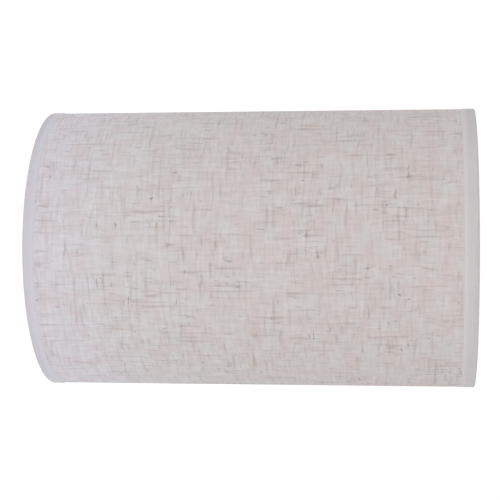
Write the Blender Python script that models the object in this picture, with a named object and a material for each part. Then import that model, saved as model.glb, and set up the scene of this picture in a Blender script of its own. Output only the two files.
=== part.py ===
"""Hardback drum lamp shade: fabric on a stiff backing sheet, bound with folded tape over two wire
rings, with a three-arm spider, a fitter washer and a lift-out reducer ring.

Metres, +Z up. The shade stands upright on its bottom rim. The origin is on its axis, level with that
rim, and the upright seam where the sheets overlap faces +Y.
"""

import math

import bmesh
import bpy
import numpy as np

# Overall size
SHADE_DIAMETER = 0.196  # outside of the trims, away from the seam
SHADE_HEIGHT = 0.300  # from rim to rim

# Shell
FABRIC_THICKNESS = 0.00035
BACKING_THICKNESS = 0.0004
TOUCH_GAP = 0.0003  # clearance between pieces that touch
RING_WIRE = 0.0028  # wire diameter of the top and bottom rings

# Folded tape along each rim
TRIM_TAPE = 0.0004  # thickness of the tape
TOP_TRIM_WIDTH = 0.0097  # outer leg, seen from outside
BOTTOM_TRIM_WIDTH = 0.0078
TRIM_GLUE_WIDTH = 0.0060  # straight end of the inner leg, glued to the backing
RIM_FOLD = 0.0006  # fold radius at the rim's outer corner, at the middle of the tape
NOTCH_CLEARANCE = 0.0012  # each side of an arm, where the top trim is slit to let it pass
NOTCH_TOP_CLEARANCE = 0.0003  # above the arm

# Overlapped seam
SEAM_OVERLAP = 0.012
SEAM_TAPE_WIDTH = 0.008
SEAM_TAPE_THICKNESS = 0.00015
SEAM_TAPE_INSET = 0.0010  # from the sheets' upper and lower edges
SEAM_RISE = 0.012  # run over which the outer layer climbs onto the inner end
SEAM_FALL = 0.005  # run over which the trim comes back down past the outer end
SEAM_CLEARANCE = 0.0006  # along the circumference, from an edge to the start of a slope

# Spider and fitter
ARM_COUNT = 3
ARM_WIRE = 0.0024
ARM_LEVEL_RUN = 0.008  # straight run at the ring, before the arm slopes down
ARM_BEND = 0.007  # bend radius at the middle of the wire
ARM_FOOT_INSET = 0.0022  # from the hole's edge to the end of the arm under the washer
ARM_FOOT_RUN = 0.0015  # level run of the arm past the washer's outer edge
FITTER_DROP = 0.025  # from the top rim down to the washer's upper face
FITTER_HOLE = 0.0423  # clears the 40 mm collar of an E27 lampholder
FITTER_BAND = 0.0068  # width of the washer's flat band
FITTER_THICKNESS = 0.0015

# Reducer ring, which rests in the washer's hole
REDUCER_BORE = 0.029  # clears the 28 mm collar of an E14 lampholder
REDUCER_LAP = 0.0026  # how far its flange reaches over the washer
REDUCER_FLANGE = 0.0016  # flange thickness
REDUCER_CLEARANCE = 0.0004  # between its skirt and the washer's hole, on the radius
REDUCER_SKIRT_WALL = 0.0015
REDUCER_SKIRT_BELOW = 0.0012  # how far the skirt shows below the washer

# Facets
ROUND_SEGMENTS = 66  # round the shell, outside the seam's own steps
SLOPE_STEPS = 4  # along the rise and the fall beside the seam
WIRE_SIDES = 8
FITTER_SEGMENTS = 48
BEND_STEPS = 4

# Radii of the shell's layers, from outside inwards, where nothing is lifted by the seam
TRIM_OUTER = SHADE_DIAMETER / 2
FABRIC_OUTER = TRIM_OUTER - TRIM_TAPE - TOUCH_GAP
FABRIC_INNER = FABRIC_OUTER - FABRIC_THICKNESS
BACKING_OUTER = FABRIC_INNER - TOUCH_GAP
BACKING_INNER = BACKING_OUTER - BACKING_THICKNESS
RING_RADIUS = BACKING_INNER - TOUCH_GAP - RING_WIRE / 2

# Depths below a rim
SHEET_DEPTH = TRIM_TAPE + TOUCH_GAP
RING_DEPTH = SHEET_DEPTH + RING_WIRE / 2

# The outer end of the sheets stands this much further out than the inner end that it covers
SEAM_TAPE_INNER = FABRIC_OUTER + TOUCH_GAP
SEAM_STEP = SEAM_TAPE_INNER + SEAM_TAPE_THICKNESS + TOUCH_GAP - BACKING_INNER

# Angles round the axis, counted from the inner end's edge
OVERLAP_ANGLE = SEAM_OVERLAP / FABRIC_OUTER
CLEAR_ANGLE = SEAM_CLEARANCE / FABRIC_OUTER
RISE_ANGLE = SEAM_RISE / FABRIC_OUTER
FALL_ANGLE = SEAM_FALL / FABRIC_OUTER
TAPE_EDGE_ANGLE = (SEAM_OVERLAP - SEAM_TAPE_WIDTH) / 2 / FABRIC_OUTER
FULL_TURN = 2 * math.pi
SEAM_DIRECTION = math.pi / 2  # +Y
FIRST_ARM_DIRECTION = -math.pi / 2  # -Y, opposite the seam

FITTER_TOP = SHADE_HEIGHT - FITTER_DROP
FITTER_BOTTOM = FITTER_TOP - FITTER_THICKNESS


def make_material(name, colour, roughness, metallic=0.0):
    material = bpy.data.materials.new(name)
    material.use_nodes = True
    shader = material.node_tree.nodes["Principled BSDF"]
    shader.inputs["Base Color"].default_value = (*colour, 1.0)
    shader.inputs["Roughness"].default_value = roughness
    shader.inputs["Metallic"].default_value = metallic
    return material


def add_piece(name, bm, material):
    """Turns a bmesh into a named object, smooth except at its real edges."""
    bmesh.ops.recalc_face_normals(bm, faces=bm.faces)
    mesh = bpy.data.meshes.new(name)
    bm.to_mesh(mesh)
    bm.free()
    mesh.shade_smooth()
    mesh.set_sharp_from_angle(angle=math.radians(35))
    piece = bpy.data.objects.new(name, mesh)
    piece.data.materials.append(material)
    bpy.context.collection.objects.link(piece)
    return piece


def loft(sections, closed):
    """Joins equal closed sections in order: back to the first one, or capped at both ends."""
    bm = bmesh.new()
    loops = [[bm.verts.new(point) for point in section] for section in sections]
    following = loops[1:] + loops[:1] if closed else loops[1:]
    for loop, following_loop in zip(loops, following):
        for side in range(len(loop)):
            after = (side + 1) % len(loop)
            corners = (loop[side], loop[after], following_loop[after], following_loop[side])
            bm.faces.new(corners)
    if not closed:
        bm.faces.new(loops[0])
        bm.faces.new(reversed(loops[-1]))
    return bm


def smooth_rise(x):
    """Goes from 0 to 1 with level ends as x goes from 0 to 1."""
    x = min(max(x, 0.0), 1.0)
    return x * x * (3 - 2 * x)


def slope_angles(start, run):
    return [start + run * step / SLOPE_STEPS for step in range(SLOPE_STEPS + 1)]


def shell_angles():
    """Angles of the facet edges for one turn from the inner end's edge, shared by every shell layer."""
    seam = [0.0, TAPE_EDGE_ANGLE, OVERLAP_ANGLE - TAPE_EDGE_ANGLE, OVERLAP_ANGLE]
    fall = slope_angles(OVERLAP_ANGLE + CLEAR_ANGLE, FALL_ANGLE)
    rise = slope_angles(FULL_TURN - CLEAR_ANGLE - RISE_ANGLE, RISE_ANGLE)
    plain = np.linspace(fall[-1], rise[0], ROUND_SEGMENTS + 1)[1:-1].tolist()
    return seam + fall + plain + rise


def sheet_lift(angle):
    """How far a sheet stands out as it climbs over its own inner end."""
    start = FULL_TURN - CLEAR_ANGLE - RISE_ANGLE
    return SEAM_STEP * smooth_rise((angle - start) / RISE_ANGLE)


def trim_lift(angle):
    """The same climb for the tape outside it, which comes down again past the outer end."""
    past_end = (angle - OVERLAP_ANGLE - CLEAR_ANGLE) / FALL_ANGLE
    return max(sheet_lift(angle), SEAM_STEP * (1 - smooth_rise(past_end)))


def at_angle(angle, radius, height):
    direction = SEAM_DIRECTION - OVERLAP_ANGLE / 2 + angle
    return (radius * math.cos(direction), radius * math.sin(direction), height)


def shell_sections(profile, angles, lift):
    """A profile of (radius, height, share of the lift) points, placed at each angle."""
    return [
        [at_angle(angle, radius + share * lift(angle), height) for radius, height, share in profile]
        for angle in angles
    ]


def sheet(name, inner, outer, material):
    """One rolled sheet: a full turn and the overlap, whose outer end lies over the inner end."""
    low = SHEET_DEPTH
    high = SHADE_HEIGHT - SHEET_DEPTH
    profile = [(inner, low, 1), (outer, low, 1), (outer, high, 1), (inner, high, 1)]
    first_turn = shell_angles()
    overlap = [FULL_TURN + angle for angle in first_turn if angle <= OVERLAP_ANGLE]
    return add_piece(name, loft(shell_sections(profile, first_turn + overlap, sheet_lift), False), material)


def seam_tape(material):
    """Adhesive strip between the inner end and the outer end that covers it."""
    low = SHEET_DEPTH + SEAM_TAPE_INSET
    high = SHADE_HEIGHT - low
    outer = SEAM_TAPE_INNER + SEAM_TAPE_THICKNESS
    profile = [
        (SEAM_TAPE_INNER, low, 0),
        (outer, low, 0),
        (outer, high, 0),
        (SEAM_TAPE_INNER, high, 0),
    ]
    angles = [TAPE_EDGE_ANGLE, OVERLAP_ANGLE - TAPE_EDGE_ANGLE]
    return add_piece("seam_tape", loft(shell_sections(profile, angles, sheet_lift), False), material)


def arc(centre, radius, start, end, steps):
    """Points on an arc of (radius, depth) values, from one angle in degrees to another."""
    angles = np.radians(np.linspace(start, end, steps + 1))
    return [(centre[0] + radius * math.cos(a), centre[1] + radius * math.sin(a)) for a in angles]


def ribbon(centre_line, thickness):
    """Closed outline of a ribbon of even thickness along a centre line, mitred at its corners."""
    points = np.array(centre_line)
    runs = np.diff(points, axis=0)
    runs /= np.linalg.norm(runs, axis=1)[:, None]
    across = np.column_stack([-runs[:, 1], runs[:, 0]])
    before = np.vstack([across[:1], across])
    after = np.vstack([across, across[-1:]])
    mitre = (before + after) / (1 + np.sum(before * after, axis=1))[:, None]
    offset = mitre * thickness / 2
    return np.vstack([points + offset, (points - offset)[::-1]])


def trim_centre_line(outer_width):
    """Middle of the folded tape, as (radius, depth below the rim) points.

    It runs up the outside of the fabric, folds over the sheets' edges, rolls round the ring, and
    slants back out to the backing, where its straight end is glued.
    """
    half = TRIM_TAPE / 2
    outer_leg = TRIM_OUTER - half
    glued_leg = BACKING_INNER - TOUCH_GAP - half
    roll_radius = RING_WIRE / 2 + TOUCH_GAP + half
    fold = arc((outer_leg - RIM_FOLD, half + RIM_FOLD), RIM_FOLD, 0, -90, 2)
    roll = arc((RING_RADIUS, RING_DEPTH), roll_radius, -90, -225, BEND_STEPS)
    slant_end = roll[-1][1] + glued_leg - roll[-1][0]
    leg = [(glued_leg, slant_end), (glued_leg, slant_end + TRIM_GLUE_WIDTH)]
    return [(outer_leg, outer_width)] + fold + roll + leg


def trim(name, outer_width, at_top, material):
    """Folded tape along one rim. Only the part outside the ring is lifted by the seam."""
    profile = [
        (radius, SHADE_HEIGHT - depth if at_top else depth, 1 if radius > BACKING_INNER else 0)
        for radius, depth in ribbon(trim_centre_line(outer_width), TRIM_TAPE)
    ]
    return add_piece(name, loft(shell_sections(profile, shell_angles(), trim_lift), True), material)


def wire_ring(name, at_top, material):
    height = SHADE_HEIGHT - RING_DEPTH if at_top else RING_DEPTH
    outline = arc((RING_RADIUS, height), RING_WIRE / 2, 0, 360, WIRE_SIDES)[:-1]
    profile = [(radius, z, 0) for radius, z in outline]
    return add_piece(name, loft(shell_sections(profile, shell_angles(), trim_lift), True), material)


def turned(name, profile, material):
    """A ring turned about the shade's axis from (radius, height) points."""
    angles = [FULL_TURN * step / FITTER_SEGMENTS for step in range(FITTER_SEGMENTS)]
    sections = [[(r * math.cos(a), r * math.sin(a), z) for r, z in profile] for a in angles]
    return add_piece(name, loft(sections, True), material)


def fitter_ring(material):
    """Flat washer that is clamped between a lampholder's shoulder and its screwed collar."""
    inner = FITTER_HOLE / 2
    outer = inner + FITTER_BAND
    profile = [(inner, FITTER_BOTTOM), (outer, FITTER_BOTTOM), (outer, FITTER_TOP), (inner, FITTER_TOP)]
    return turned("fitter_ring", profile, material)


def reducer_ring(material):
    """Flanged ring that rests on the washer, with a skirt that centres it in the hole."""
    bore = REDUCER_BORE / 2
    rim = FITTER_HOLE / 2 + REDUCER_LAP
    skirt = FITTER_HOLE / 2 - REDUCER_CLEARANCE
    under = FITTER_TOP + TOUCH_GAP
    top = under + REDUCER_FLANGE
    foot = FITTER_BOTTOM - REDUCER_SKIRT_BELOW
    profile = [
        (bore, under),
        (skirt - REDUCER_SKIRT_WALL, under),
        (skirt - REDUCER_SKIRT_WALL, foot),
        (skirt, foot),
        (skirt, under),
        (rim, under),
        (rim, top),
        (bore, top),
    ]
    return turned("reducer_ring", profile, material)


def rounded(points, radius):
    """Replaces each inner corner of a path in a plane by an arc of the given radius."""
    path = [np.array(points[0])]
    for before, corner, after in zip(points, points[1:], points[2:]):
        corner = np.array(corner)
        inward = (np.array(before) - corner) / np.linalg.norm(np.array(before) - corner)
        outward = (np.array(after) - corner) / np.linalg.norm(np.array(after) - corner)
        half_angle = math.acos(float(inward @ outward)) / 2
        bisector = (inward + outward) / np.linalg.norm(inward + outward)
        centre = corner + bisector * radius / math.sin(half_angle)
        start = corner + inward * radius / math.tan(half_angle) - centre
        end = corner + outward * radius / math.tan(half_angle) - centre
        for step in range(BEND_STEPS + 1):
            blend = start + (end - start) * step / BEND_STEPS
            path.append(centre + blend * radius / np.linalg.norm(blend))
    path.append(np.array(points[-1]))
    return path


def spider_arm(number, material):
    """Bent wire from the top ring in and down to the underside of the fitter washer."""
    ring_end = RING_RADIUS - RING_WIRE / 2 - TOUCH_GAP
    ring_height = SHADE_HEIGHT - RING_DEPTH
    foot_height = FITTER_BOTTOM - TOUCH_GAP - ARM_WIRE / 2
    washer_edge = FITTER_HOLE / 2 + FITTER_BAND
    route = [
        (ring_end, ring_height),
        (ring_end - ARM_LEVEL_RUN, ring_height),
        (washer_edge + ARM_FOOT_RUN, foot_height),
        (FITTER_HOLE / 2 + ARM_FOOT_INSET, foot_height),
    ]
    path = rounded(route, ARM_BEND)
    name = f"spider_arm_{number + 1}"
    curve = bpy.data.curves.new(name, "CURVE")
    curve.dimensions = "3D"
    curve.bevel_depth = ARM_WIRE / 2
    curve.bevel_resolution = 2
    curve.use_fill_caps = True
    spline = curve.splines.new("POLY")
    spline.points.add(len(path) - 1)
    for point, (radius, height) in zip(spline.points, path):
        point.co = (radius, 0, height, 1)
    curve.materials.append(material)
    arm = bpy.data.objects.new(name, curve)
    arm.rotation_euler.z = arm_direction(number)
    bpy.context.collection.objects.link(arm)
    return arm


def arm_direction(number):
    return FIRST_ARM_DIRECTION + FULL_TURN * number / ARM_COUNT


def notch_for_arm(tape, number):
    """Slits the inner leg of the top trim where an arm passes through it."""
    leg_end_depth = trim_centre_line(TOP_TRIM_WIDTH)[-1][1]
    width = ARM_WIRE + 2 * NOTCH_CLEARANCE
    top = SHADE_HEIGHT - RING_DEPTH + ARM_WIRE / 2 + NOTCH_TOP_CLEARANCE
    bottom = SHADE_HEIGHT - leg_end_depth - NOTCH_CLEARANCE
    inner = RING_RADIUS - RING_WIRE / 2 - TOUCH_GAP - TRIM_TAPE - NOTCH_CLEARANCE
    outer = BACKING_INNER + TOUCH_GAP
    bm = bmesh.new()
    bmesh.ops.create_cube(bm, size=1.0)
    bmesh.ops.scale(bm, verts=bm.verts, vec=(outer - inner, width, top - bottom))
    bmesh.ops.translate(bm, verts=bm.verts, vec=((inner + outer) / 2, 0, (top + bottom) / 2))
    mesh = bpy.data.meshes.new(f"notch_cutter_{number + 1}")
    bm.to_mesh(mesh)
    bm.free()
    cutter = bpy.data.objects.new(mesh.name, mesh)
    cutter.rotation_euler.z = arm_direction(number)
    cutter.hide_render = True
    cutter.display_type = "WIRE"
    bpy.context.collection.objects.link(cutter)
    cut = tape.modifiers.new(mesh.name, "BOOLEAN")
    cut.operation = "DIFFERENCE"
    cut.solver = "EXACT"
    cut.object = cutter


def build():
    for old in list(bpy.data.objects):
        bpy.data.objects.remove(old)
    slub_fabric = make_material("slub fabric", (0.62, 0.57, 0.57), 0.9)
    backing_plastic = make_material("backing sheet", (0.80, 0.79, 0.76), 0.45)
    trim_cloth = make_material("trim tape", (0.58, 0.56, 0.62), 0.85)
    adhesive = make_material("adhesive tape", (0.70, 0.70, 0.68), 0.5)
    white_enamel = make_material("white painted steel", (0.78, 0.78, 0.77), 0.35)
    white_plastic = make_material("white plastic", (0.80, 0.80, 0.78), 0.4)

    sheet("fabric_cover", FABRIC_INNER, FABRIC_OUTER, slub_fabric)
    sheet("backing_sheet", BACKING_INNER, BACKING_OUTER, backing_plastic)
    seam_tape(adhesive)
    top_trim = trim("top_trim", TOP_TRIM_WIDTH, True, trim_cloth)
    trim("bottom_trim", BOTTOM_TRIM_WIDTH, False, trim_cloth)
    wire_ring("top_ring", True, white_enamel)
    wire_ring("bottom_ring", False, white_enamel)
    for number in range(ARM_COUNT):
        spider_arm(number, white_enamel)
        notch_for_arm(top_trim, number)
    fitter_ring(white_enamel)
    reducer_ring(white_plastic)


build()
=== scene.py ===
"""Looks of a tall hardback drum lamp shade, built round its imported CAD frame.

Metres, +Z up. The shade stands on its bottom rim with its axis on Z, and the upright seam of its
cloth faces +Y. Every new piece is a surface worked out with numpy, with its place in its mesh.
"""

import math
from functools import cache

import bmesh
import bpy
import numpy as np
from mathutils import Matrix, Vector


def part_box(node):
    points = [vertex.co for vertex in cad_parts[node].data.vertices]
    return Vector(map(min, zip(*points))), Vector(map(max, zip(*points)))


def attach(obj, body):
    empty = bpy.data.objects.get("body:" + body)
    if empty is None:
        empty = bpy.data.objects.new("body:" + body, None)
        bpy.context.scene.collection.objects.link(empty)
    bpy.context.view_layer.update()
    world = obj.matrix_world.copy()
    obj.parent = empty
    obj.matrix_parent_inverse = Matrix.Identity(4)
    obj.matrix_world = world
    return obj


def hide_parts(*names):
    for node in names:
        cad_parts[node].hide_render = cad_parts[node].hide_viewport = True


bl_info = {
    "name": "Drum lamp shade",
    "version": (1, 0, 0),
    "blender": (4, 5, 0),
    "location": "View3D > Sidebar > Lamp Shade",
    "description": "Builds the cloth, rim tapes, wires and fitter of a drum lamp shade",
    "category": "Object",
}

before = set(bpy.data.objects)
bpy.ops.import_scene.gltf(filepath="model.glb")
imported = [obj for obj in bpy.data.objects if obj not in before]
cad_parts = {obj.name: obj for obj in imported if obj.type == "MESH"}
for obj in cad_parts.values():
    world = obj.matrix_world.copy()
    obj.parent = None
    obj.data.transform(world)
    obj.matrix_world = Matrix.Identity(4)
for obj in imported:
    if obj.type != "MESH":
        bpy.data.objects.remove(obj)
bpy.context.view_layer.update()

FULL_TURN = 2 * math.pi
MM = 0.001
CLOTH_UV = "cloth"  # metres along the cloth and across it
CUT_ROW = 0.06 * MM  # a first row of faces this narrow keeps the shading even up to a cut edge
PRESSED = 1 / 7  # share of its wall that a tape keeps at a pressed edge
TURN_POINTS = 421  # points round a sheet or a tape, about 1.5 mm apart
SEAM_POINTS = 49  # points through the seam's slopes


# ---------------- facts read from the frame


def node_points(node):
    """A CAD node's corners as an array of (x, y, z)."""
    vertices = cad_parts[node].data.vertices
    flat = np.empty(len(vertices) * 3, np.float32)
    vertices.foreach_get("co", flat)
    return flat.reshape(-1, 3).astype(float)


def radii(node):
    """Nearest and furthest distance of a CAD node's corners from the axis, away from the seam."""
    points = node_points(node)
    away = points[points[:, 1] < 0]
    distance = np.hypot(away[:, 0], away[:, 1])
    return float(distance.min()), float(distance.max())


def heights(node):
    """Lowest and highest point of a CAD node."""
    low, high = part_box(node)
    return low.z, high.z


SHADE_HEIGHT = heights("top_trim")[1]
RIM_RADIUS = radii("bottom_trim")[1]
SHEET_LOW, SHEET_HIGH = heights("backing_sheet")
RING_LOW, RING_HIGH = heights("bottom_ring")
RING_WIRE = RING_HIGH - RING_LOW
RING_RADIUS = radii("bottom_ring")[1] - RING_WIRE / 2
RING_DEPTH = (RING_LOW + RING_HIGH) / 2
ARM_INNER_END, ARM_OUTER_END = radii("spider_arm_1")
ARM_LOW = heights("spider_arm_1")[0]
# The first arm runs along Y, so it is as wide as its wire.
ARM_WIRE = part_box("spider_arm_1")[1].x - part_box("spider_arm_1")[0].x
ARM_DIRECTIONS = [
    math.atan2(*node_points(f"spider_arm_{number}").mean(axis=0)[[1, 0]]) for number in (1, 2, 3)
]
WASHER_LOW, WASHER_HIGH = heights("fitter_ring")
WASHER_HOLE, WASHER_EDGE = radii("fitter_ring")
REDUCER_LOW, REDUCER_HIGH = heights("reducer_ring")
REDUCER_BORE, REDUCER_EDGE = radii("reducer_ring")


# ---------------- sizes and colours a user may change


def length(name, description, default):
    """A length in metres, shown in the scene's unit."""
    return bpy.props.FloatProperty(
        name=name, description=description, default=default, min=0.0, unit="LENGTH", precision=5
    )


def linear(hex_colour):
    """An sRGB hex colour as linear RGBA: a value over 12.92 up to 0.04045, and a 2.4 power above."""
    values = [int(hex_colour[place : place + 2], 16) / 255 for place in (1, 3, 5)]
    return [
        value / 12.92 if value <= 0.04045 else ((value + 0.055) / 1.055) ** 2.4 for value in values
    ] + [1.0]


def colour(name, description, default):
    """A colour, with its default as an sRGB hex value."""
    return bpy.props.FloatVectorProperty(
        name=name, description=description, default=linear(default), size=4, min=0, max=1, subtype="COLOR"
    )


class ShellSizes(bpy.types.PropertyGroup):
    """Sheets, tapes and the seam where the sheets overlap."""

    cloth: length("Cloth", "Thickness of the cover's cloth", 0.35 * MM)
    film: length("Backing", "Thickness of the stiff sheet behind the cloth", 0.4 * MM)
    glue: length("Glue line", "Thickness of the glue between two layers", 0.05 * MM)
    tape: length("Rim tape", "Thickness of the cotton tape on the rims", 0.25 * MM)
    tape_stand: length("Tape stand-off", "Air between the rim tape and the cloth", 0.01 * MM)
    top_leg: length("Top tape", "Height of the top tape on the outside", 9.7 * MM)
    bottom_leg: length("Bottom tape", "Height of the bottom tape on the outside", 7.8 * MM)
    inner_leg: length("Glued leg", "Height of the tape's straight end inside", 6.0 * MM)
    fold: length("Rim fold", "Radius of the tape's fold at the rim's outer corner", 0.7 * MM)
    selvedge: length("Selvedge", "Width over which the tape's edges are pressed thin", 2.0 * MM)
    tape_lap: length("Tape lap", "How far the tape's ends overlap", 9.0 * MM)
    overlap: length("Seam overlap", "How far the sheets' ends overlap", 12.0 * MM)
    hem: length("Hem", "Width of the cloth turned in at the seam", 7.0 * MM)
    strip: length("Seam strip", "Width of the adhesive strip in the seam", 8.0 * MM)
    strip_thickness: length("Strip thickness", "Thickness of the adhesive strip", 0.15 * MM)
    rise: length("Seam rise", "Run over which the outer layer climbs onto the inner end", 12.0 * MM)
    fall: length("Seam fall", "Run over which the tape drops past the outer end", 5.0 * MM)
    slit: length("Arm slit", "Width of the slit in the top tape at each arm", 4.8 * MM)


class WireSizes(bpy.types.PropertyGroup):
    """Spider, washer and reducer ring."""

    bend: length("Arm bend", "Bend radius at the middle of an arm's wire", 7.0 * MM)
    level_run: length("Level run", "Straight run of an arm at the ring", 8.0 * MM)
    foot: length("Foot", "Length of the arm's flattened end under the washer", 7.0 * MM)
    weld: length("Weld bead", "Size of the weld between an arm and the ring", 2.1 * MM)
    washer_round: length("Washer edge", "Radius of the washer's rolled edges", 0.45 * MM)
    spot: length("Spot weld", "Radius of the dimple that a spot weld leaves", 1.9 * MM)
    flange: length("Flange", "Thickness of the reducer ring's flange", 1.6 * MM)
    skirt: length("Skirt", "Wall of the reducer ring's skirt", 1.5 * MM)
    skirt_clearance: length("Skirt clearance", "Gap between skirt and washer hole", 0.4 * MM)
    moulded_round: length("Moulded edge", "Radius of the reducer ring's edges", 0.35 * MM)


class Finishes(bpy.types.PropertyGroup):
    """Colours of the finishes, as sRGB hex values."""

    cloth_rose: colour("Cloth, rosy", "Cloth between slubs, where it leans to rose", "#CAC0BE")
    cloth_grey: colour("Cloth, grey", "Cloth between slubs, where it leans to grey", "#CAC5C4")
    slub: colour("Slub", "Thick tan yarn in the cloth", "#816F60")
    tape: colour("Rim tape", "Cool white cotton of the rim tapes", "#C9C4C6")
    selvedge: colour("Selvedge", "Outer edge of the rim tapes", "#CAC6C8")
    film: colour("Backing", "Milk-white stiff sheet", "#E9E7E1")
    strip: colour("Seam strip", "Adhesive strip inside the seam", "#DAD6C8")
    enamel: colour("Powder coat", "White powder coat on wires and washer", "#E4E3DF")
    plastic: colour("Reducer", "White moulded plastic", "#E8E7E3")


class StageSettings(bpy.types.PropertyGroup):
    """Camera and floor."""

    distance: length("Camera distance", "From the shade's axis to the camera", 1.029)
    above_middle: length("Camera height", "Above the middle of the shade", 0.1067)
    tilt: bpy.props.FloatProperty(
        name="Tilt", description="Downward tilt of the camera", default=math.radians(6.41), subtype="ANGLE"
    )
    lens: bpy.props.FloatProperty(
        name="Lens", description="Focal length on a 36 mm wide sensor", default=103.7, unit="CAMERA"
    )
    sideways: length("Aim", "How far beside the axis the camera aims", 1.45 * MM)
    floor_size: length("Floor", "Width of the square floor", 24.0)


def settings(group):
    """One of the groups above, by its short name: shell, wires, finishes or stage."""
    return getattr(bpy.context.scene, "shade_" + group)


# ---------------- meshes


def surface(name, points, uv=None, closed_along=False, closed_across=False, keep=None):
    """A quad mesh over a grid of points[along, across], which may close on itself either way.

    Face (i, j) joins grid points i and i+1 along with j and j+1 across. uv holds metres along and
    across for each grid point of an open grid, and keep says which faces of the grid are wanted.
    """
    rows, columns = points.shape[:2]
    row_count = rows if closed_along else rows - 1
    column_count = columns if closed_across else columns - 1
    i, j = np.meshgrid(np.arange(row_count), np.arange(column_count), indexing="ij")
    after_i, after_j = (i + 1) % rows, (j + 1) % columns
    corners = np.stack([(i, j), (after_i, j), (after_i, after_j), (i, after_j)], axis=-1)
    quads = corners[0] * columns + corners[1]
    quads = quads.reshape(-1, 4) if keep is None else quads[keep]
    used, faces = np.unique(quads, return_inverse=True)
    faces = faces.reshape(quads.shape)
    mesh = bpy.data.meshes.new(name)
    mesh.from_pydata(points.reshape(-1, 3)[used], [], faces.tolist())
    if uv is not None:
        layer = mesh.uv_layers.new(name=CLOTH_UV)
        layer.data.foreach_set("uv", uv.reshape(-1, 2)[quads.ravel()].astype(np.float32).ravel())
    mesh.shade_smooth()
    mesh.validate()
    return mesh


def closed(name, tubes):
    """Several open tubes as one mesh: fills their small ends, and turns all faces outwards."""
    bm = bmesh.new()
    for tube in tubes:
        bm.from_mesh(tube)
        bpy.data.meshes.remove(tube)
    bmesh.ops.holes_fill(bm, edges=[edge for edge in bm.edges if edge.is_boundary])
    bmesh.ops.recalc_face_normals(bm, faces=bm.faces)
    mesh = bpy.data.meshes.new(name)
    bm.to_mesh(mesh)
    bm.free()
    mesh.shade_smooth()
    return mesh


def add_piece(name, mesh, material, body, node):
    """Shows a mesh as a piece that rides on a body and stands for a CAD node."""
    piece = bpy.data.objects.new(name, mesh)
    mesh.materials.append(material)
    bpy.context.scene.collection.objects.link(piece)
    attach(piece, body)
    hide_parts(node)
    return piece


def thicken(piece, thickness):
    """Gives an open sheet its wall, half on each side."""
    wall = piece.modifiers.new("wall", "SOLIDIFY")
    wall.thickness = thickness
    wall.offset = 0.0
    wall.use_rim = True
    return wall


def press_edges(piece, run, across, wall):
    """Thins a tape's wall towards its two long edges, by weights rounded to a thousandth."""
    mesh = piece.data
    corner_uv = np.empty(len(mesh.loops) * 2, np.float32)
    mesh.uv_layers[CLOTH_UV].data.foreach_get("uv", corner_uv)
    corner_vertex = np.empty(len(mesh.loops), np.int32)
    mesh.loops.foreach_get("vertex_index", corner_vertex)
    place = np.empty(len(mesh.vertices))
    place[corner_vertex] = corner_uv[1::2]
    share = np.round(pressed_share(place, run, across), 3)
    group = piece.vertex_groups.new(name="wall")
    for value in np.unique(share):
        group.add(np.flatnonzero(share == value).tolist(), float(value), "REPLACE")
    wall.vertex_group = group.name
    wall.thickness_vertex_group = 0.0


def pressed_share(place, run, across):
    """Share of the full wall at a place across the tape: a smooth rise over a run from each edge."""
    return PRESSED + (1 - PRESSED) * smooth_rise(np.minimum(place, across - place) / run)


def lengths(line):
    """Distance along a line of points to each of them."""
    return np.concatenate([[0], np.cumsum(np.linalg.norm(np.diff(line, axis=0), axis=1))])


def around(direction, radius, height):
    """Points at a direction, radius and height: (radius cos, radius sin, height)."""
    parts = np.broadcast_arrays(radius * np.cos(direction), radius * np.sin(direction), height)
    return np.stack(parts, axis=-1)


def turned(profile, segments):
    """A profile of (radius, height) points turned once round the axis."""
    angle = np.linspace(0, FULL_TURN, segments, endpoint=False)[:, None]
    radius, height = np.asarray(profile).T
    return around(angle, radius, height)


def rounded_outline(corners, radii_at_corners, steps):
    """A closed outline whose corners are arcs: each arc touches both sides of its corner and is
    drawn as evenly turned steps about its own centre, so it has one point more than steps."""
    corners = np.asarray(corners, float)
    outline = []
    for before, corner, after, radius in zip(
        np.roll(corners, 1, axis=0), corners, np.roll(corners, -1, axis=0), radii_at_corners
    ):
        back = (before - corner) / np.linalg.norm(before - corner)
        ahead = (after - corner) / np.linalg.norm(after - corner)
        half = math.acos(float(np.clip(back @ ahead, -1, 1))) / 2
        centre = corner + (back + ahead) / np.linalg.norm(back + ahead) * radius / math.sin(half)
        start = corner + back * radius / math.tan(half) - centre
        end = corner + ahead * radius / math.tan(half) - centre
        turn = math.atan2(start[0] * end[1] - start[1] * end[0], start @ end)
        angle = np.linspace(0, turn, steps + 1)
        outline.append(
            centre
            + np.outer(np.cos(angle), start)
            + np.outer(np.sin(angle), [-start[1], start[0]])
        )
    return np.concatenate(outline)


def smooth_rise(x):
    """0 below 0, 1 above 1, and 3x^2 - 2x^3 between, which starts and ends level."""
    x = np.clip(x, 0, 1)
    return x * x * (3 - 2 * x)


def arc(centre, radius, start, end, steps):
    """Points on a circle's arc between two angles in degrees."""
    angle = np.radians(np.linspace(start, end, steps + 1))
    return np.asarray(centre) + radius * np.stack([np.cos(angle), np.sin(angle)], axis=-1)


# ---------------- shell layout


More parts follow.
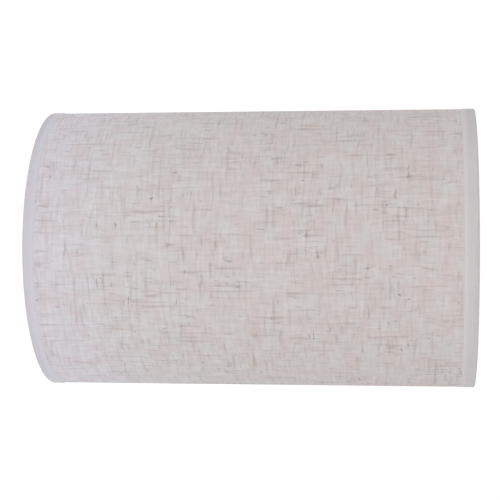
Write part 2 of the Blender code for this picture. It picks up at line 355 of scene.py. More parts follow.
class Layers:
    """Radii of the shell's layers, and how far the seam lifts the outer ones."""

    def __init__(self):
        sizes = settings("shell")
        cloth, film, glue, strip = sizes.cloth, sizes.film, sizes.glue, sizes.strip_thickness
        self.cloth_outer = RIM_RADIUS - sizes.tape - sizes.tape_stand
        self.cloth_middle = self.cloth_outer - cloth / 2
        self.film_middle = self.cloth_outer - cloth - glue - film / 2
        self.film_inner = self.film_middle - film / 2
        self.strip_middle = self.cloth_outer + glue + strip / 2
        self.hem_bend = (film + 2 * glue + cloth) / 2
        turned_in = glue + cloth + glue
        self.step = self.strip_middle + strip / 2 + turned_in - self.film_inner
        self.overlap = sizes.overlap / RIM_RADIUS
        self.rise = sizes.rise / RIM_RADIUS
        self.fall = sizes.fall / RIM_RADIUS

    def sheet_lift(self, angle):
        """The lift grows as a smooth rise over the run that ends at one full turn."""
        return self.step * smooth_rise((angle - (FULL_TURN - self.rise)) / self.rise)

    def tape_lift(self, angle):
        """As the sheets, and falling smoothly again past their outer end."""
        once = np.mod(angle, FULL_TURN)
        down = self.step * (1 - smooth_rise((once - self.overlap) / self.fall))
        return np.maximum(self.sheet_lift(once), down)

    def direction(self, angle):
        """Turns an angle from the inner end's edge into one from +X, with the seam at +Y."""
        return math.pi / 2 - self.overlap / 2 + angle

    def seam_angles(self):
        """Angles through the seam's slopes and overlap."""
        return np.linspace(-self.rise, self.overlap + self.fall, SEAM_POINTS)


def angles_to(end, *closer):
    """Even angles from 0 to end, with the closer ones given and a cut row at both ends."""
    cut = CUT_ROW / RIM_RADIUS
    angles = np.concatenate([np.linspace(0, end, TURN_POINTS), [cut, end - cut], *closer])
    return np.unique(np.round(angles[(angles >= 0) & (angles <= end)], 5))


def upright_sheet(name, path, levels):
    """A path round the axis carried straight up: point (i, j) is path point i at level j.

    The path is a row of directions and a row of distances from the axis. The sheet's map holds
    metres along the path and up the sheet.
    """
    height = np.linspace(SHEET_LOW, SHEET_HIGH, levels)
    direction, reach = path[..., None]
    points = around(direction, reach, height)
    along = lengths(points[:, 0])
    u, v = np.meshgrid(along, height, indexing="ij")
    mesh = surface(name, points, np.stack([u, v], axis=-1))
    return mesh, along[-1]


def rolled_path(layers, radius, end):
    """One turn and the overlap: the distance from the axis grows by the seam's lift."""
    seam = layers.seam_angles()
    angle = angles_to(end, seam, seam + FULL_TURN)
    return np.stack([layers.direction(angle), radius + layers.sheet_lift(angle)])


def hem_path(layers, end):
    """The cloth's turned-in end: half a circle round the backing's edge, then a run back under it."""
    bend = layers.hem_bend
    edge_radius = layers.film_middle + layers.step
    turn = np.radians(np.linspace(90, -90, 9)[1:])
    run = np.linspace(0, settings("shell").hem, 9)[1:]
    ahead = np.concatenate([bend * np.cos(turn), -run])
    out = np.concatenate([bend * np.sin(turn), np.full(len(run), -bend)])
    return np.stack([layers.direction(end) + ahead / edge_radius, edge_radius + out])


def build_cover():
    """The slub cloth: rolled once round, lapped over its own start, and hemmed there."""
    sizes, layers = settings("shell"), Layers()
    end = FULL_TURN + layers.overlap - (layers.hem_bend + sizes.cloth) / RIM_RADIUS
    rolled = rolled_path(layers, layers.cloth_middle, end)
    path = np.concatenate([rolled, hem_path(layers, end)], axis=1)
    mesh, run = upright_sheet("cover_cloth", path, levels=41)
    cloth = add_piece("cover_cloth", mesh, slub_linen(), "shade", "fabric_cover")
    thicken(cloth, sizes.cloth)


def build_backing():
    """The stiff sheet behind the cloth, which follows the same roll and stops inside the hem."""
    sizes, layers = settings("shell"), Layers()
    end = FULL_TURN + layers.overlap - (sizes.film + 2 * sizes.cloth) / RIM_RADIUS
    path = rolled_path(layers, layers.film_middle, end)
    mesh, _ = upright_sheet("backing_film", path, levels=21)
    film = add_piece("backing_film", mesh, milky_pvc(), "shade", "backing_sheet")
    thicken(film, sizes.film)


def build_strip():
    """The adhesive strip: an arc of the seam carried up, inside the overlap."""
    sizes, layers = settings("shell"), Layers()
    margin = (sizes.overlap - sizes.strip) / 2 / RIM_RADIUS
    direction = layers.direction(np.linspace(margin, layers.overlap - margin, 9))
    path = np.stack([direction, np.full(len(direction), layers.strip_middle)])
    mesh, _ = upright_sheet("seam_strip", path, levels=21)
    strip = add_piece("seam_strip", mesh, adhesive_film(), "shade", "seam_tape")
    thicken(strip, sizes.strip_thickness)


# ---------------- rim tapes


def tape_line(layers, outer_leg):
    """Middle of the folded tape as (radius, depth below the rim) points, from outside to inside.

    A straight outer leg, a quarter arc at the rim, a flat, an arc that rolls round the ring, a
    slant out to the backing at 45 degrees, and the straight glued leg.
    """
    sizes = settings("shell")
    fold, selvedge = sizes.fold, sizes.selvedge
    half = sizes.tape / 2
    outside = RIM_RADIUS - half
    inside = layers.film_inner - sizes.glue - half
    near_edge = np.concatenate([[0, CUT_ROW], np.linspace(0, selvedge, 5)[1:]])
    plain = np.linspace(outer_leg - selvedge, half + fold, 7)[1:-1]
    upright = np.concatenate([outer_leg - near_edge, plain])
    leg = np.stack([np.full(len(upright), outside), upright], axis=-1)
    corner = arc((outside - fold, half + fold), fold, start=0, end=-90, steps=6)
    roll = arc((RING_RADIUS, RING_DEPTH), RING_DEPTH - half, start=-90, end=-225, steps=18)
    slant_end = roll[-1, 1] + inside - roll[-1, 0]
    slant = np.linspace(roll[-1], (inside, slant_end), 7)[1:-1]
    plain = np.linspace(0, sizes.inner_leg - selvedge, 5)[:-1]
    upright = slant_end + np.concatenate([plain, sizes.inner_leg - near_edge[::-1]])
    glued = np.stack([np.full(len(upright), inside), upright], axis=-1)
    line = np.concatenate([leg, corner, roll, slant, glued])
    across = lengths(line)
    # Where it is pressed thin, the tape moves by what it lost, to lie on the cloth or the backing.
    pressed = (1 - pressed_share(across, selvedge, across[-1])) * half
    line[:, 0] += pressed * np.where(np.arange(len(line)) < len(leg), -1, 1)
    return line


def line_normals(line):
    """Unit normals of a line in its plane: its run, turned a quarter turn."""
    run = np.gradient(line, axis=0)
    run /= np.linalg.norm(run, axis=1)[:, None]
    return np.stack([-run[:, 1], run[:, 0]], axis=-1)


def build_tape(name, node, outer_leg, at_top):
    """One rim tape: its folded line carried once round the rim and a little further.

    The seam lifts only what lies outside the ring. The tape's second end rises along the line's
    normals by its own thickness, to lie on the first one. The top tape is slit at each arm.
    """
    sizes, layers = settings("shell"), Layers()
    line = tape_line(layers, outer_leg)
    normal = line_normals(line)
    lap = sizes.tape_lap / RIM_RADIUS
    climb = lap / 3
    start = layers.overlap + layers.fall + lap
    slit = sizes.slit / 2 / RING_RADIUS
    arms = np.mod(np.array(ARM_DIRECTIONS) - layers.direction(start), FULL_TURN)
    cut = CUT_ROW / RIM_RADIUS
    beside_slit = (-slit - cut, -slit, slit, slit + cut)
    slit_edges = np.concatenate([arms + edge for edge in beside_slit]) if at_top else ()
    climbing = np.linspace(FULL_TURN - climb, FULL_TURN, 9)
    seam = layers.seam_angles() + FULL_TURN - start
    angle = start + angles_to(FULL_TURN + lap, seam, climbing, slit_edges)

    stack_height = 1.1 * sizes.tape  # a tenth of the tape's thickness is glue
    stacked = stack_height * smooth_rise((angle - start - FULL_TURN + climb) / climb)
    share = smooth_rise((line[:, 0] - RING_RADIUS) / (layers.film_middle - RING_RADIUS))
    share[(line[:, 1] > RING_DEPTH) & (line[:, 0] <= layers.film_middle)] = 0
    lift = layers.tape_lift(angle)[:, None] * share
    radius = line[:, 0] + lift + stacked[:, None] * normal[:, 0]
    depth = line[:, 1] + stacked[:, None] * normal[:, 1]
    height = SHADE_HEIGHT - depth if at_top else depth
    points = around(layers.direction(angle)[:, None], radius, height)

    across = lengths(line)
    along = (angle - start) * RIM_RADIUS
    u, v = np.meshgrid(along, across, indexing="ij")
    keep = None
    if at_top:
        middle = (angle[1:] + angle[:-1]) / 2 - start
        at_arm = (np.abs(middle[:, None] - arms) < slit).any(axis=1)
        below_arm = (line[1:, 1] > RING_DEPTH - ARM_WIRE / 2) & (line[1:, 0] < layers.film_inner)
        keep = ~(at_arm[:, None] & below_arm)
    mesh = surface(name, points, np.stack([u, v], axis=-1), keep=keep)
    tape = add_piece(name, mesh, cotton_tape(), "shade", node)
    press_edges(tape, sizes.selvedge, across[-1], thicken(tape, sizes.tape))


# ---------------- wires, washer and reducer ring


def build_ring(name, node, height):
    """A wire ring: a circle of the wire's radius turned round the axis at the ring's radius."""
    outline = arc((RING_RADIUS, height), RING_WIRE / 2, start=0, end=360, steps=20)[:-1]
    points = turned(outline, segments=240)
    mesh = surface(name, points, closed_along=True, closed_across=True)
    add_piece(name, mesh, powder_coat(), "shade", node)


def arm_route():
    """Middle line of an arm as (distance from the axis, height) points with rounded bends."""
    sizes = settings("wires")
    ring_height = SHADE_HEIGHT - RING_DEPTH
    foot_height = ARM_LOW + ARM_WIRE / 2
    corners = np.array(
        [
            (ARM_OUTER_END, ring_height),
            (ARM_OUTER_END - sizes.level_run, ring_height),
            (ARM_INNER_END + sizes.foot, foot_height),
            (ARM_INNER_END, foot_height),
        ]
    )
    steps = 10
    outline = rounded_outline(corners, [0.0, sizes.bend, sizes.bend, 0.0], steps)
    both_bends = outline[steps + 1 : 3 * (steps + 1)]
    route = np.concatenate([corners[:1], both_bends, corners[3:]])
    place = lengths(route)
    even = np.linspace(0, place[-1], 121)
    return np.stack([np.interp(even, place, route[:, k]) for k in (0, 1)], axis=-1)


def arm_mesh(direction):
    """An arm's wire: ellipses carried along the route, pressed flat and wide towards the foot, and
    closed by two rounded ends whose ellipses shrink as a circle's chord does."""
    thinner, wider = 0.42, 0.45  # what the press takes off the wire's radius, and what it adds
    rise = 0.2 * MM  # brings the pressed foot up to the washer over it
    tip = 0.01  # size of the last ellipse, as a share
    end = ARM_WIRE / 2
    route = arm_route()
    to_foot = np.linalg.norm(route - route[-1], axis=1)
    to_ring = np.linalg.norm(route - route[0], axis=1)
    pressed = smooth_rise(1 - to_foot / settings("wires").foot)
    chord = 1 - (1 - np.minimum(to_foot, to_ring).clip(0, end) / end) ** 2
    ends = np.sqrt(np.clip(chord, tip**2, 1))
    flat = end * (1 - thinner * pressed) * ends
    wide = end * (1 + wider * pressed) * ends
    normal = line_normals(route)
    raised = route[:, 1] + pressed * end * thinner + pressed * rise
    angle = np.linspace(0, FULL_TURN, 24, endpoint=False)
    distance = route[:, :1] + flat[:, None] * np.cos(angle) * normal[:, :1]
    height = raised[:, None] + flat[:, None] * np.cos(angle) * normal[:, 1:]
    sideways = wide[:, None] * np.sin(angle)
    cosine, sine = math.cos(direction), math.sin(direction)
    x = distance * cosine - sideways * sine
    y = distance * sine + sideways * cosine
    return surface("arm", np.stack([x, y, height], axis=-1), closed_across=True)


def bead_mesh(centre, size, seed):
    """A weld bead: a sphere squeezed to three half-sizes, with a low ripple on its radius."""
    pole, ripple_height = 0.02, 0.06
    down = np.linspace(pole, math.pi - pole, 17)
    turn = np.linspace(0, FULL_TURN, 24, endpoint=False)
    along, across = np.meshgrid(down, turn, indexing="ij")
    ripple = 1 + ripple_height * np.sin(3 * across + seed) * np.sin(2 * along + 2 * seed)
    unit = around(across, np.sin(along), np.cos(along))
    points = np.asarray(centre) + unit * ripple[..., None] * np.asarray(size)
    return surface("bead", points, closed_across=True)


def build_arm(number, direction):
    """One arm with the weld bead that holds it to the ring."""
    weld = settings("wires").weld
    half_sizes = (0.8 * weld, 0.8 * weld, 0.72 * weld)  # a little flatter than it is wide
    reach = ARM_OUTER_END - 0.1 * weld  # just inside the arm's end
    centre = (reach * math.cos(direction), reach * math.sin(direction), SHADE_HEIGHT - RING_DEPTH)
    name = f"arm_wire_{number}"
    mesh = closed(name, [arm_mesh(direction), bead_mesh(centre, half_sizes, seed=number - 1)])
    add_piece(name, mesh, powder_coat(), "shade", f"spider_arm_{number}")


def build_washer():
    """The washer: a rounded flat ring with a shallow dimple over each arm, as a spot weld leaves.

    A dimple lowers the upper face by a smooth bowl of the distance from its middle.
    """
    sizes = settings("wires")
    dimple_depth, dimple_steepness = 0.3 * MM, 1.4
    inner = [(WASHER_HOLE, WASHER_LOW), (WASHER_EDGE, WASHER_LOW)]
    outer = [(WASHER_EDGE, WASHER_HIGH), (WASHER_HOLE, WASHER_HIGH)]
    steps = 5
    outline = rounded_outline(inner + outer, [sizes.washer_round] * 4, steps)
    top = 3 * (steps + 1)  # the upper face starts after the third corner's arc
    upper_face = np.linspace(outline[top - 1], outline[top], 26)[1:-1]
    outline = np.concatenate([outline[:top], upper_face, outline[top:]])
    points = turned(outline, segments=288)
    upper = points[..., 2] > WASHER_HIGH - sizes.washer_round / 4
    middle = (WASHER_HOLE + WASHER_EDGE) / 2
    for direction in ARM_DIRECTIONS:
        x, y = middle * math.cos(direction), middle * math.sin(direction)
        distance = np.hypot(points[..., 0] - x, points[..., 1] - y)
        bowl = smooth_rise(dimple_steepness * (1 - distance / sizes.spot))
        points[..., 2] -= upper * dimple_depth * bowl
    mesh = surface("fitter_washer", points, closed_along=True, closed_across=True)
    add_piece("fitter_washer", mesh, powder_coat(), "shade", "fitter_ring")


def build_reducer():
    """The reducer ring: a flange with a raised lip round the bore, a skirt, and finger ribs.

    The ribs move the flange's edge in between them: 1.4 times the cosine plus 0.6, cut to 0 to 1.
    """
    sizes = settings("wires")
    under = REDUCER_HIGH - sizes.flange
    skirt_outside = WASHER_HOLE - sizes.skirt_clearance
    skirt_inside = skirt_outside - sizes.skirt
    edge = sizes.moulded_round
    lip = 2.2 * MM
    lip_foot = 1.3 * lip
    lip_round = 0.3 * MM
    recessed = REDUCER_HIGH - 0.45 * MM
    outline = (
        (REDUCER_BORE, under, edge),
        (skirt_inside, under, 0.2 * MM),
        (skirt_inside, REDUCER_LOW, edge),
        (skirt_outside, REDUCER_LOW, edge),
        (skirt_outside, under, 0.1 * MM),
        (REDUCER_EDGE, under, edge),
        (REDUCER_EDGE, REDUCER_HIGH, edge),
        (REDUCER_EDGE - lip, REDUCER_HIGH, lip_round),
        (REDUCER_EDGE - lip_foot, recessed, lip_round),
        (REDUCER_BORE + lip_foot, recessed, lip_round),
        (REDUCER_BORE + lip, REDUCER_HIGH, lip_round),
        (REDUCER_BORE, REDUCER_HIGH, edge),
    )
    corners = [(radius, height) for radius, height, _ in outline]
    rounds = [rounding for _, _, rounding in outline]
    points = turned(rounded_outline(corners, rounds, steps=4), segments=360)

    rib_count, rib_depth, rib_reach = 45, 0.18 * MM, 1.2 * MM
    radius = np.hypot(points[..., 0], points[..., 1])
    angle = np.arctan2(points[..., 1], points[..., 0])
    at_edge = smooth_rise((radius - REDUCER_EDGE + rib_reach) / rib_reach)
    moved = rib_depth * at_edge * (1 - np.clip(1.4 * np.cos(rib_count * angle) + 0.6, 0, 1))
    points[..., :2] *= ((radius - moved) / radius)[..., None]
    mesh = surface("reducer_collar", points, closed_along=True, closed_across=True)
    add_piece("reducer_collar", mesh, moulded_plastic(), "reducer", "reducer_ring")


# ---------------- materials


def add_node(owner, kind, inputs=None, output=0, **options):
    """Adds a node to a material or world, sets its options, and sets or links its inputs by name or
    number. Gives one of its outputs.

    A Map Range takes its value at 0, the limits at 1 and 2, and what it gives there at 3 and 4. A
    colour Mix takes the share of the second colour at 0, and the colours at 6 and 7.
    """
    tree = owner.node_tree
    node = tree.nodes.new(kind)
    for name, value in options.items():
        setattr(node, name, value)
    for name, value in (inputs or {}).items():
        if isinstance(value, bpy.types.NodeSocket):
            tree.links.new(value, node.inputs[name])
        else:
            node.inputs[name].default_value = value
    return node.outputs[output] if node.outputs else None


def new_material(name):
    """An empty node material."""
    material = bpy.data.materials.new(name)
    material.use_nodes = True
    material.node_tree.nodes.clear()
    return material


def cloth_noise(material, cell_mm, seed, detail=0.0, ragged=0.0):
    """Noise over the cloth's own map, its cells cell_mm long along the map and across it.

    The seed moves each noise to a place of its own.
    """
    map_uv = add_node(material, "ShaderNodeUVMap", uv_map=CLOTH_UV)
    scale = (1 / (cell_mm[0] * MM), 1 / (cell_mm[1] * MM), 1)
    place = {"Vector": map_uv, "Location": (seed, 1.7 * seed, 0), "Scale": scale}
    moved = add_node(material, "ShaderNodeMapping", place)
    inputs = {"Vector": moved, "Scale": 1.0, "Detail": detail, "Distortion": ragged}
    return add_node(material, "ShaderNodeTexNoise", inputs, noise_dimensions="2D")


def solid_noise(material, cell_mm, detail):
    """Noise through a solid piece, with cells of one size."""
    place = add_node(material, "ShaderNodeTexCoord", output="Object")
    inputs = {"Vector": place, "Scale": 1 / (cell_mm * MM), "Detail": detail}
    return add_node(material, "ShaderNodeTexNoise", inputs)


def blend(material, pattern, limits, first, second, curve="LINEAR"):
    """Mixes a second colour into a first one by a pattern, and gives the mix and the second's share.

    Limits are the two values of the pattern between which the share changes, and the share at each.
    """
    between = {0: pattern, 1: limits[0], 2: limits[1], 3: limits[2], 4: limits[3]}
    share = add_node(material, "ShaderNodeMapRange", between, interpolation_type=curve)
    colours = {0: share, 6: first, 7: second}
    return add_node(material, "ShaderNodeMix", colours, output=2, data_type="RGBA"), share


def finish_material(material, relief, strength, depth, inputs):
    """Ends a material: one shader, and a bump that is depth metres high at the relief's full height."""
    bump = {"Strength": strength, "Distance": depth, "Height": relief}
    inputs["Normal"] = add_node(material, "ShaderNodeBump", bump)
    shader = add_node(material, "ShaderNodeBsdfPrincipled", inputs)
    add_node(material, "ShaderNodeOutputMaterial", {"Surface": shader})
    return material


# Slubs, each as the noise it is cut from: its cell round the shade and up it in millimetres, the
# noise at which the slub begins and is full, and how much of the slub colour it then shows.
SLUBS = (
    (2.0, 26.0, 0.63, 0.95, 0.27),
    (22.0, 2.0, 0.63, 0.95, 0.25),
    (1.9, 12.0, 0.72, 0.96, 0.33),
    (10.0, 1.9, 0.72, 0.96, 0.30),
    (1.6, 6.5, 0.84, 0.95, 0.50),
    (6.5, 1.6, 0.84, 0.95, 0.50),
)
# Runs of ordinary yarn that are a shade lighter or darker: the cell, as above, and the most that
# they change the cloth's colour. The two thinnest are single yarns, which show only close up, and
# the last one is the unevenness of the finished cloth.
RUNS = (
    (2.6, 34.0, 0.062),
    (30.0, 2.6, 0.062),
    (2.1, 9.0, 0.08),
    (8.0, 2.1, 0.08),
    (0.5, 16.0, 0.06),
    (16.0, 0.5, 0.06),
    (10.0, 10.0, 0.04),
)


@cache
def slub_linen():
    """Slub linen laminated flat: dull off-white yarns, with thick tan lengths of yarn both ways.

    A slub is where noise drawn out along the yarn passes a threshold, so that it swells and tapers.
    A slow noise moves the threshold, which gathers the slubs in loose groups, and the slubs so far
    lower it for the next ones, so that the darkest specks sit on them. Real yarns are about 0.5 mm
    wide, and runs of a few like ones are drawn together 2 mm wide, as the eye takes them.
    """
    colours = settings("finishes")
    material = new_material("slub linen")
    gathering, nearness = 0.1, 0.1  # how far the slow noise and the slubs so far move the threshold
    gathered = cloth_noise(material, (30, 30), seed=3.1)
    inputs = {0: gathered, 1: gathering, 2: -gathering / 2}
    shift = add_node(material, "ShaderNodeMath", inputs, operation="MULTIPLY_ADD")

    lightness = 1.0 + sum(most for _, _, most in RUNS) / 2
    for number, (round_mm, up_mm, most) in enumerate(RUNS):
        run = cloth_noise(material, (round_mm, up_mm), seed=67.3 + 7.7 * number)
        inputs = {0: run, 1: -most, 2: lightness}
        lightness = add_node(material, "ShaderNodeMath", inputs, operation="MULTIPLY_ADD")
    # Lighter runs lean to grey and darker ones to rose, in loose patches.
    cloudy = cloth_noise(material, (13, 13), seed=91.7, detail=1.0)
    inputs = {0: lightness, 1: 2.0, 2: cloudy}
    cooler = add_node(material, "ShaderNodeMath", inputs, operation="MULTIPLY_ADD")
    limits = (2.3, 2.7, 0.0, 1.0)
    rose, grey = colours.cloth_rose, colours.cloth_grey
    ground, _ = blend(material, cooler, limits, rose, grey, "SMOOTHSTEP")
    inputs = {0: ground, "Scale": lightness}
    shade = add_node(material, "ShaderNodeVectorMath", inputs, operation="SCALE")

    thick = 0.0
    for number, (round_mm, up_mm, begin, full, strength) in enumerate(SLUBS):
        drawn = cloth_noise(material, (round_mm, up_mm), seed=11.3 + 5.9 * number, ragged=0.5)
        inputs = {0: thick, 1: nearness, 2: shift}
        nearby = add_node(material, "ShaderNodeMath", inputs, operation="MULTIPLY_ADD")
        yarn = add_node(material, "ShaderNodeMath", {0: drawn, 1: nearby}, operation="ADD")
        limits = (begin, full, 0.0, strength)
        shade, slub = blend(material, yarn, limits, shade, colours.slub, "SMOOTHSTEP")
        thick = add_node(material, "ShaderNodeMath", {0: slub, 1: thick}, operation="ADD")
    # A slub stands up from the cloth, and a darker run a little.
    inputs = {0: lightness, 1: -3.0, 2: thick}
    relief = add_node(material, "ShaderNodeMath", inputs, operation="MULTIPLY_ADD")
    inputs = {"Base Color": shade, "Roughness": 0.9, "Specular IOR Level": 0.25}
    inputs.update({"Sheen Weight": 0.08, "Sheen Roughness": 0.6})
    return finish_material(material, relief, strength=0.3, depth=0.25 * MM, inputs=inputs)


@cache
def cotton_tape():
    """Fine cotton tape, pressed flat: smooth and cool white, with faint ribs along its length and a
    slightly lighter band along its outer edge, next to the cloth. Its 0.4 mm yarns show only close up."""
    colours = settings("finishes")
    material = new_material("cotton tape")
    ribs = cloth_noise(material, (160.0, 1.3), seed=7.7)
    weft = cloth_noise(material, (1.2, 9.0), seed=19.3, detail=1.0)
    cloudy = cloth_noise(material, (26.0, 12.0), seed=31.3, detail=1.0)
    weft_share, yarn_share = 0.4, 0.6  # of the ribs' strength
    inputs = {0: weft, 1: weft_share, 2: ribs}
    woven = add_node(material, "ShaderNodeMath", inputs, operation="MULTIPLY_ADD")
    for yarn_mm, seed in (((0.4, 5.0), 43.1), ((5.0, 0.4), 53.9)):
        inputs = {0: cloth_noise(material, yarn_mm, seed), 1: yarn_share, 2: woven}
        woven = add_node(material, "ShaderNodeMath", inputs, operation="MULTIPLY_ADD")
    worn = add_node(material, "ShaderNodeMath", {0: woven, 1: cloudy}, operation="ADD")
    limits, dull = (1.4, 2.2, 0.15, 0.0), linear("#8F8B96")
    shade, _ = blend(material, worn, limits, colours.tape, dull, "SMOOTHSTEP")
    # The tape is lighter towards its outer edge, from 4.5 mm to 1.5 mm away from it.
    map_uv = add_node(material, "ShaderNodeUVMap", uv_map=CLOTH_UV)
    across = add_node(material, "ShaderNodeSeparateXYZ", {0: map_uv}, output="Y")
    limits = (1.5 * MM, 4.5 * MM, 1.0, 0.0)
    shade, _ = blend(material, across, limits, shade, colours.selvedge, "SMOOTHSTEP")
    inputs = {"Base Color": shade, "Roughness": 0.82, "Specular IOR Level": 0.3}
    inputs.update({"Sheen Weight": 0.06, "Sheen Roughness": 0.5})
    return finish_material(material, woven, strength=0.35, depth=0.12 * MM, inputs=inputs)


@cache
def milky_pvc():
    """Rigid PVC sheet, calendered: milk white and satin, with the faint roller marks of its making."""
    material = new_material("milky PVC sheet")
    rolled = cloth_noise(material, (90.0, 4.0), seed=13.1, detail=2.0)
    cloudy = cloth_noise(material, (40.0, 40.0), seed=29.3, detail=2.0)
    milk, aged = settings("finishes").film, linear("#B9B4A8")
    shade, _ = blend(material, cloudy, (0.3, 0.7, 0.0, 0.1), milk, aged)
    dullness = add_node(material, "ShaderNodeMapRange", {0: rolled, 1: 0.3, 2: 0.7, 3: 0.42, 4: 0.52})
    inputs = {"Base Color": shade, "Roughness": dullness, "IOR": 1.53}
    return finish_material(material, rolled, strength=0.15, depth=0.1 * MM, inputs=inputs)


@cache
def adhesive_film():
    """Double-sided adhesive film: yellowish and smooth, with small trapped bubbles."""
    material = new_material("adhesive film")
    bubbles = cloth_noise(material, (1.6, 1.6), seed=41.3, detail=2.0)
    yellowish, pale = settings("finishes").strip, linear("#F0EEE6")
    shade, _ = blend(material, bubbles, (0.5, 0.7, 0.0, 1.0), yellowish, pale)
    inputs = {"Base Color": shade, "Roughness": 0.35, "IOR": 1.48}
    return finish_material(material, bubbles, strength=0.3, depth=0.1 * MM, inputs=inputs)


@cache
def powder_coat():
    """Mild steel under white powder coat: even and satin, with the shallow orange peel of baked powder."""
    material = new_material("white powder coat")
    peel = solid_noise(material, 1.3, detail=1.0)
    dust = solid_noise(material, 9.0, detail=3.0)
    white, dusty = settings("finishes").enamel, linear("#A7A39A")
    shade, _ = blend(material, dust, (0.45, 0.75, 0.0, 0.12), white, dusty)
    dullness = add_node(material, "ShaderNodeMapRange", {0: dust, 1: 0.3, 2: 0.7, 3: 0.30, 4: 0.42})
    inputs = {"Base Color": shade, "Roughness": dullness, "IOR": 1.5}
    return finish_material(material, peel, strength=0.35, depth=0.12 * MM, inputs=inputs)


@cache
def moulded_plastic():
    """Injection-moulded polypropylene: white and waxy, with a fine spark-eroded grain."""
    material = new_material("moulded polypropylene")
    grain = solid_noise(material, 0.5, detail=2.0)
    flow = solid_noise(material, 12.0, detail=2.0)
    white, waxy = settings("finishes").plastic, linear("#BDB9AE")
    shade, _ = blend(material, flow, (0.35, 0.7, 0.0, 0.1), white, waxy)
    dullness = add_node(material, "ShaderNodeMapRange", {0: grain, 1: 0.3, 2: 0.7, 3: 0.40, 4: 0.52})
    inputs = {"Base Color": shade, "Roughness": dullness, "IOR": 1.49}
    return finish_material(material, grain, strength=0.3, depth=0.08 * MM, inputs=inputs)


@cache
def light_table():
    """Opal acrylic lit from below: white to the eye, glowing cooler in a ring round the shade, and
    clear from beneath. The ring is a smooth rise and fall of the distance from the axis."""
    glow_full, glow_gone = 0.17, 0.27
    material = new_material("opal light table")
    place = add_node(material, "ShaderNodeTexCoord", output="Object")
    distance = add_node(material, "ShaderNodeVectorMath", {0: place}, output="Value", operation="LENGTH")
    limits = {0: distance, 1: RIM_RADIUS, 2: RIM_RADIUS + 10 * MM}
    beyond_rim = add_node(material, "ShaderNodeMapRange", limits, interpolation_type="SMOOTHSTEP")
    limits = {0: distance, 1: glow_full, 2: glow_gone, 3: 1.0, 4: 0.0}
    near = add_node(material, "ShaderNodeMapRange", limits, interpolation_type="SMOOTHSTEP")
    ring = add_node(material, "ShaderNodeMath", {0: beyond_rim, 1: near}, operation="MULTIPLY")
    glow = {0: ring, 6: linear("#B7B7B7"), 7: linear("#D0DCF3")}
    glow = add_node(material, "ShaderNodeMix", glow, output=2, data_type="RGBA")
    mottled = {0: solid_noise(material, 900.0, detail=2.0), 6: linear("#F4F4F4"), 7: linear("#FAFAFA")}
    shade = add_node(material, "ShaderNodeMix", mottled, output=2, data_type="RGBA")
    inputs = {"Base Color": shade, "Roughness": 0.9, "Emission Color": glow, "Emission Strength": 1.2}
    acrylic = add_node(material, "ShaderNodeBsdfPrincipled", inputs)
    clear = add_node(material, "ShaderNodeBsdfTransparent")
    below = add_node(material, "ShaderNodeNewGeometry", output="Backfacing")
    shader = add_node(material, "ShaderNodeMixShader", {0: below, 1: acrylic, 2: clear})
    add_node(material, "ShaderNodeOutputMaterial", {"Surface": shader})
    return material


# ---------------- stage


def build_floor():
    """A flat square grid, just under the rim."""
    below_rim = 0.6 * MM
    half = np.linspace(-1, 1, 9) * settings("stage").floor_size / 2
    x, y = np.meshgrid(half, half, indexing="ij")
    mesh = surface("floor", np.stack([x, y, np.full_like(x, -below_rim)], axis=-1))
    floor = bpy.data.objects.new("studio_floor", mesh)
    mesh.materials.append(light_table())
    bpy.context.scene.collection.objects.link(floor)


def build_light(name, place, size, power, tint):
    """A square soft light at a place, turned to face the middle of the shade."""
    light = bpy.data.lights.new(name, "AREA")
    light.shape = "SQUARE"
    light.size = size
    light.energy = power
    light.color = linear(tint)[:3]
    lamp = bpy.data.objects.new(name, light)
    ahead = Vector((0, 0, SHADE_HEIGHT / 2)) - Vector(place)
    turn = ahead.to_track_quat("-Z", "Y").to_matrix().to_4x4()
    lamp.matrix_world = Matrix.Translation(place) @ turn
    bpy.context.scene.collection.objects.link(lamp)


def build_world():
    """A white surround: full white where it is looked at, and half as bright as a light."""
    as_seen, as_light = 1.02, 0.50
    world = bpy.data.worlds.new("white surround")
    world.use_nodes = True
    world.node_tree.nodes.clear()
    seen = add_node(world, "ShaderNodeLightPath", output="Is Camera Ray")
    inputs = {0: seen, 1: as_seen - as_light, 2: as_light}
    strength = add_node(world, "ShaderNodeMath", inputs, operation="MULTIPLY_ADD")
    light = add_node(world, "ShaderNodeBackground", {"Color": (1, 1, 1, 1), "Strength": strength})
    add_node(world, "ShaderNodeOutputWorld", {"Surface": light})
    bpy.context.scene.world = world


def build_camera():
    """A long lens level with the shade's upper part, looking slightly down, with its top edge
    towards -X, so that the upright shade lies across the picture."""
    stage = settings("stage")
    place = Vector((0, -stage.distance, SHADE_HEIGHT / 2 + stage.above_middle))
    drop = stage.distance * math.tan(stage.tilt)
    aim = Vector((stage.sideways, 0, place.z - drop))
    ahead = (aim - place).normalized()
    right = ahead.cross(Vector((-1, 0, 0))).normalized()
    up = right.cross(ahead)
    data = bpy.data.cameras.new("camera")
    data.lens = stage.lens
    data.sensor_width = 36.0
    data.clip_end = 60.0
    camera = bpy.data.objects.new("camera", data)
    turn = Matrix((right, up, -ahead)).transposed().to_4x4()
    camera.matrix_world = Matrix.Translation(place) @ turn
    bpy.context.scene.collection.objects.link(camera)
    bpy.context.scene.camera = camera


def build_stage():
    """Floor, surround, camera, a broad soft light behind the camera and one overhead."""
    bpy.context.scene.view_settings.view_transform = "Standard"
    build_world()
    build_floor()
    build_camera()
    build_light("front_softbox", (0, -2.6, 0.8), size=1.6, power=12.6, tint="#FFF7EE")
    build_light("overhead_softbox", (0.2, 0.2, 2.2), size=1.2, power=8.0, tint="#FFFFFF")


# ---------------- operators


class SHADE_OT_cover(bpy.types.Operator):
    """Build the slub cloth that covers the shade."""

    bl_idname = "shade.cover"
    bl_label = "Cover Cloth"
    bl_options = {"REGISTER", "UNDO"}

    def execute(self, context):
        build_cover()
        return {"FINISHED"}


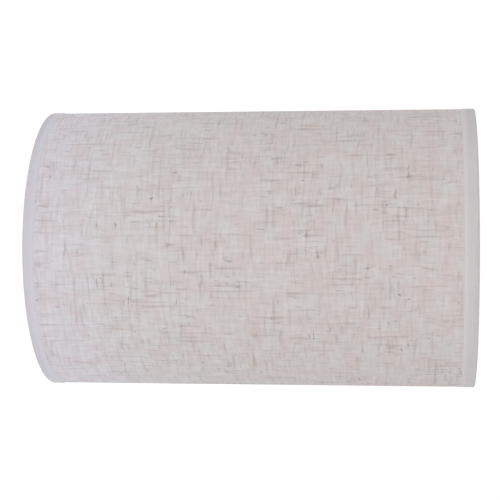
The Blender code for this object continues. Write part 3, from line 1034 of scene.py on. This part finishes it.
class SHADE_OT_backing(bpy.types.Operator):
    """Build the stiff backing sheet and the adhesive strip in its seam."""

    bl_idname = "shade.backing"
    bl_label = "Backing and Seam Strip"
    bl_options = {"REGISTER", "UNDO"}

    def execute(self, context):
        build_backing()
        build_strip()
        return {"FINISHED"}


class SHADE_OT_tapes(bpy.types.Operator):
    """Build the folded tapes on both rims."""

    bl_idname = "shade.tapes"
    bl_label = "Rim Tapes"
    bl_options = {"REGISTER", "UNDO"}

    def execute(self, context):
        sizes = settings("shell")
        build_tape("top_rim_tape", "top_trim", sizes.top_leg, at_top=True)
        build_tape("bottom_rim_tape", "bottom_trim", sizes.bottom_leg, at_top=False)
        return {"FINISHED"}


class SHADE_OT_rings(bpy.types.Operator):
    """Build the wire rings inside the rims."""

    bl_idname = "shade.rings"
    bl_label = "Wire Rings"
    bl_options = {"REGISTER", "UNDO"}

    def execute(self, context):
        build_ring("top_ring_wire", "top_ring", SHADE_HEIGHT - RING_DEPTH)
        build_ring("bottom_ring_wire", "bottom_ring", RING_DEPTH)
        return {"FINISHED"}


class SHADE_OT_spider(bpy.types.Operator):
    """Build the arms that carry the fitter."""

    bl_idname = "shade.spider"
    bl_label = "Spider Arms"
    bl_options = {"REGISTER", "UNDO"}

    def execute(self, context):
        for number, direction in enumerate(ARM_DIRECTIONS, start=1):
            build_arm(number, direction)
        return {"FINISHED"}


class SHADE_OT_fitter(bpy.types.Operator):
    """Build the fitter washer and the reducer ring that rests in it."""

    bl_idname = "shade.fitter"
    bl_label = "Fitter Washer and Reducer"
    bl_options = {"REGISTER", "UNDO"}

    def execute(self, context):
        build_washer()
        build_reducer()
        return {"FINISHED"}


class SHADE_OT_stage(bpy.types.Operator):
    """Set up the floor, surround, lights and camera."""

    bl_idname = "shade.stage"
    bl_label = "Stage"
    bl_options = {"REGISTER", "UNDO"}

    def execute(self, context):
        build_stage()
        return {"FINISHED"}


OPERATORS = (
    SHADE_OT_stage,
    SHADE_OT_cover,
    SHADE_OT_backing,
    SHADE_OT_tapes,
    SHADE_OT_rings,
    SHADE_OT_spider,
    SHADE_OT_fitter,
)
GROUPS = {
    "shade_shell": ShellSizes,
    "shade_wires": WireSizes,
    "shade_finishes": Finishes,
    "shade_stage": StageSettings,
}


class SHADE_PT_panel(bpy.types.Panel):
    """Lists the steps and their sizes."""

    bl_idname = "SHADE_PT_panel"
    bl_label = "Drum Lamp Shade"
    bl_space_type = "VIEW_3D"
    bl_region_type = "UI"
    bl_category = "Lamp Shade"

    def draw(self, context):
        for operator in OPERATORS:
            self.layout.operator(operator.bl_idname)
        for name, group in GROUPS.items():
            box = self.layout.box()
            for setting in group.__annotations__:
                box.prop(getattr(context.scene, name), setting)


def register():
    """Registers the groups of settings, the operators and the panel."""
    for group in GROUPS.values():
        bpy.utils.register_class(group)
    for name, group in GROUPS.items():
        setattr(bpy.types.Scene, name, bpy.props.PointerProperty(type=group))
    for each in (*OPERATORS, SHADE_PT_panel):
        bpy.utils.register_class(each)


def unregister():
    """Takes away all that was registered, in the opposite order."""
    for each in (SHADE_PT_panel, *reversed(OPERATORS)):
        bpy.utils.unregister_class(each)
    for name, group in reversed(GROUPS.items()):
        delattr(bpy.types.Scene, name)
        bpy.utils.unregister_class(group)


def main():
    register()
    for operator in OPERATORS:
        group, step = operator.bl_idname.split(".")
        getattr(getattr(bpy.ops, group), step)()


if __name__ == "__main__":
    main()
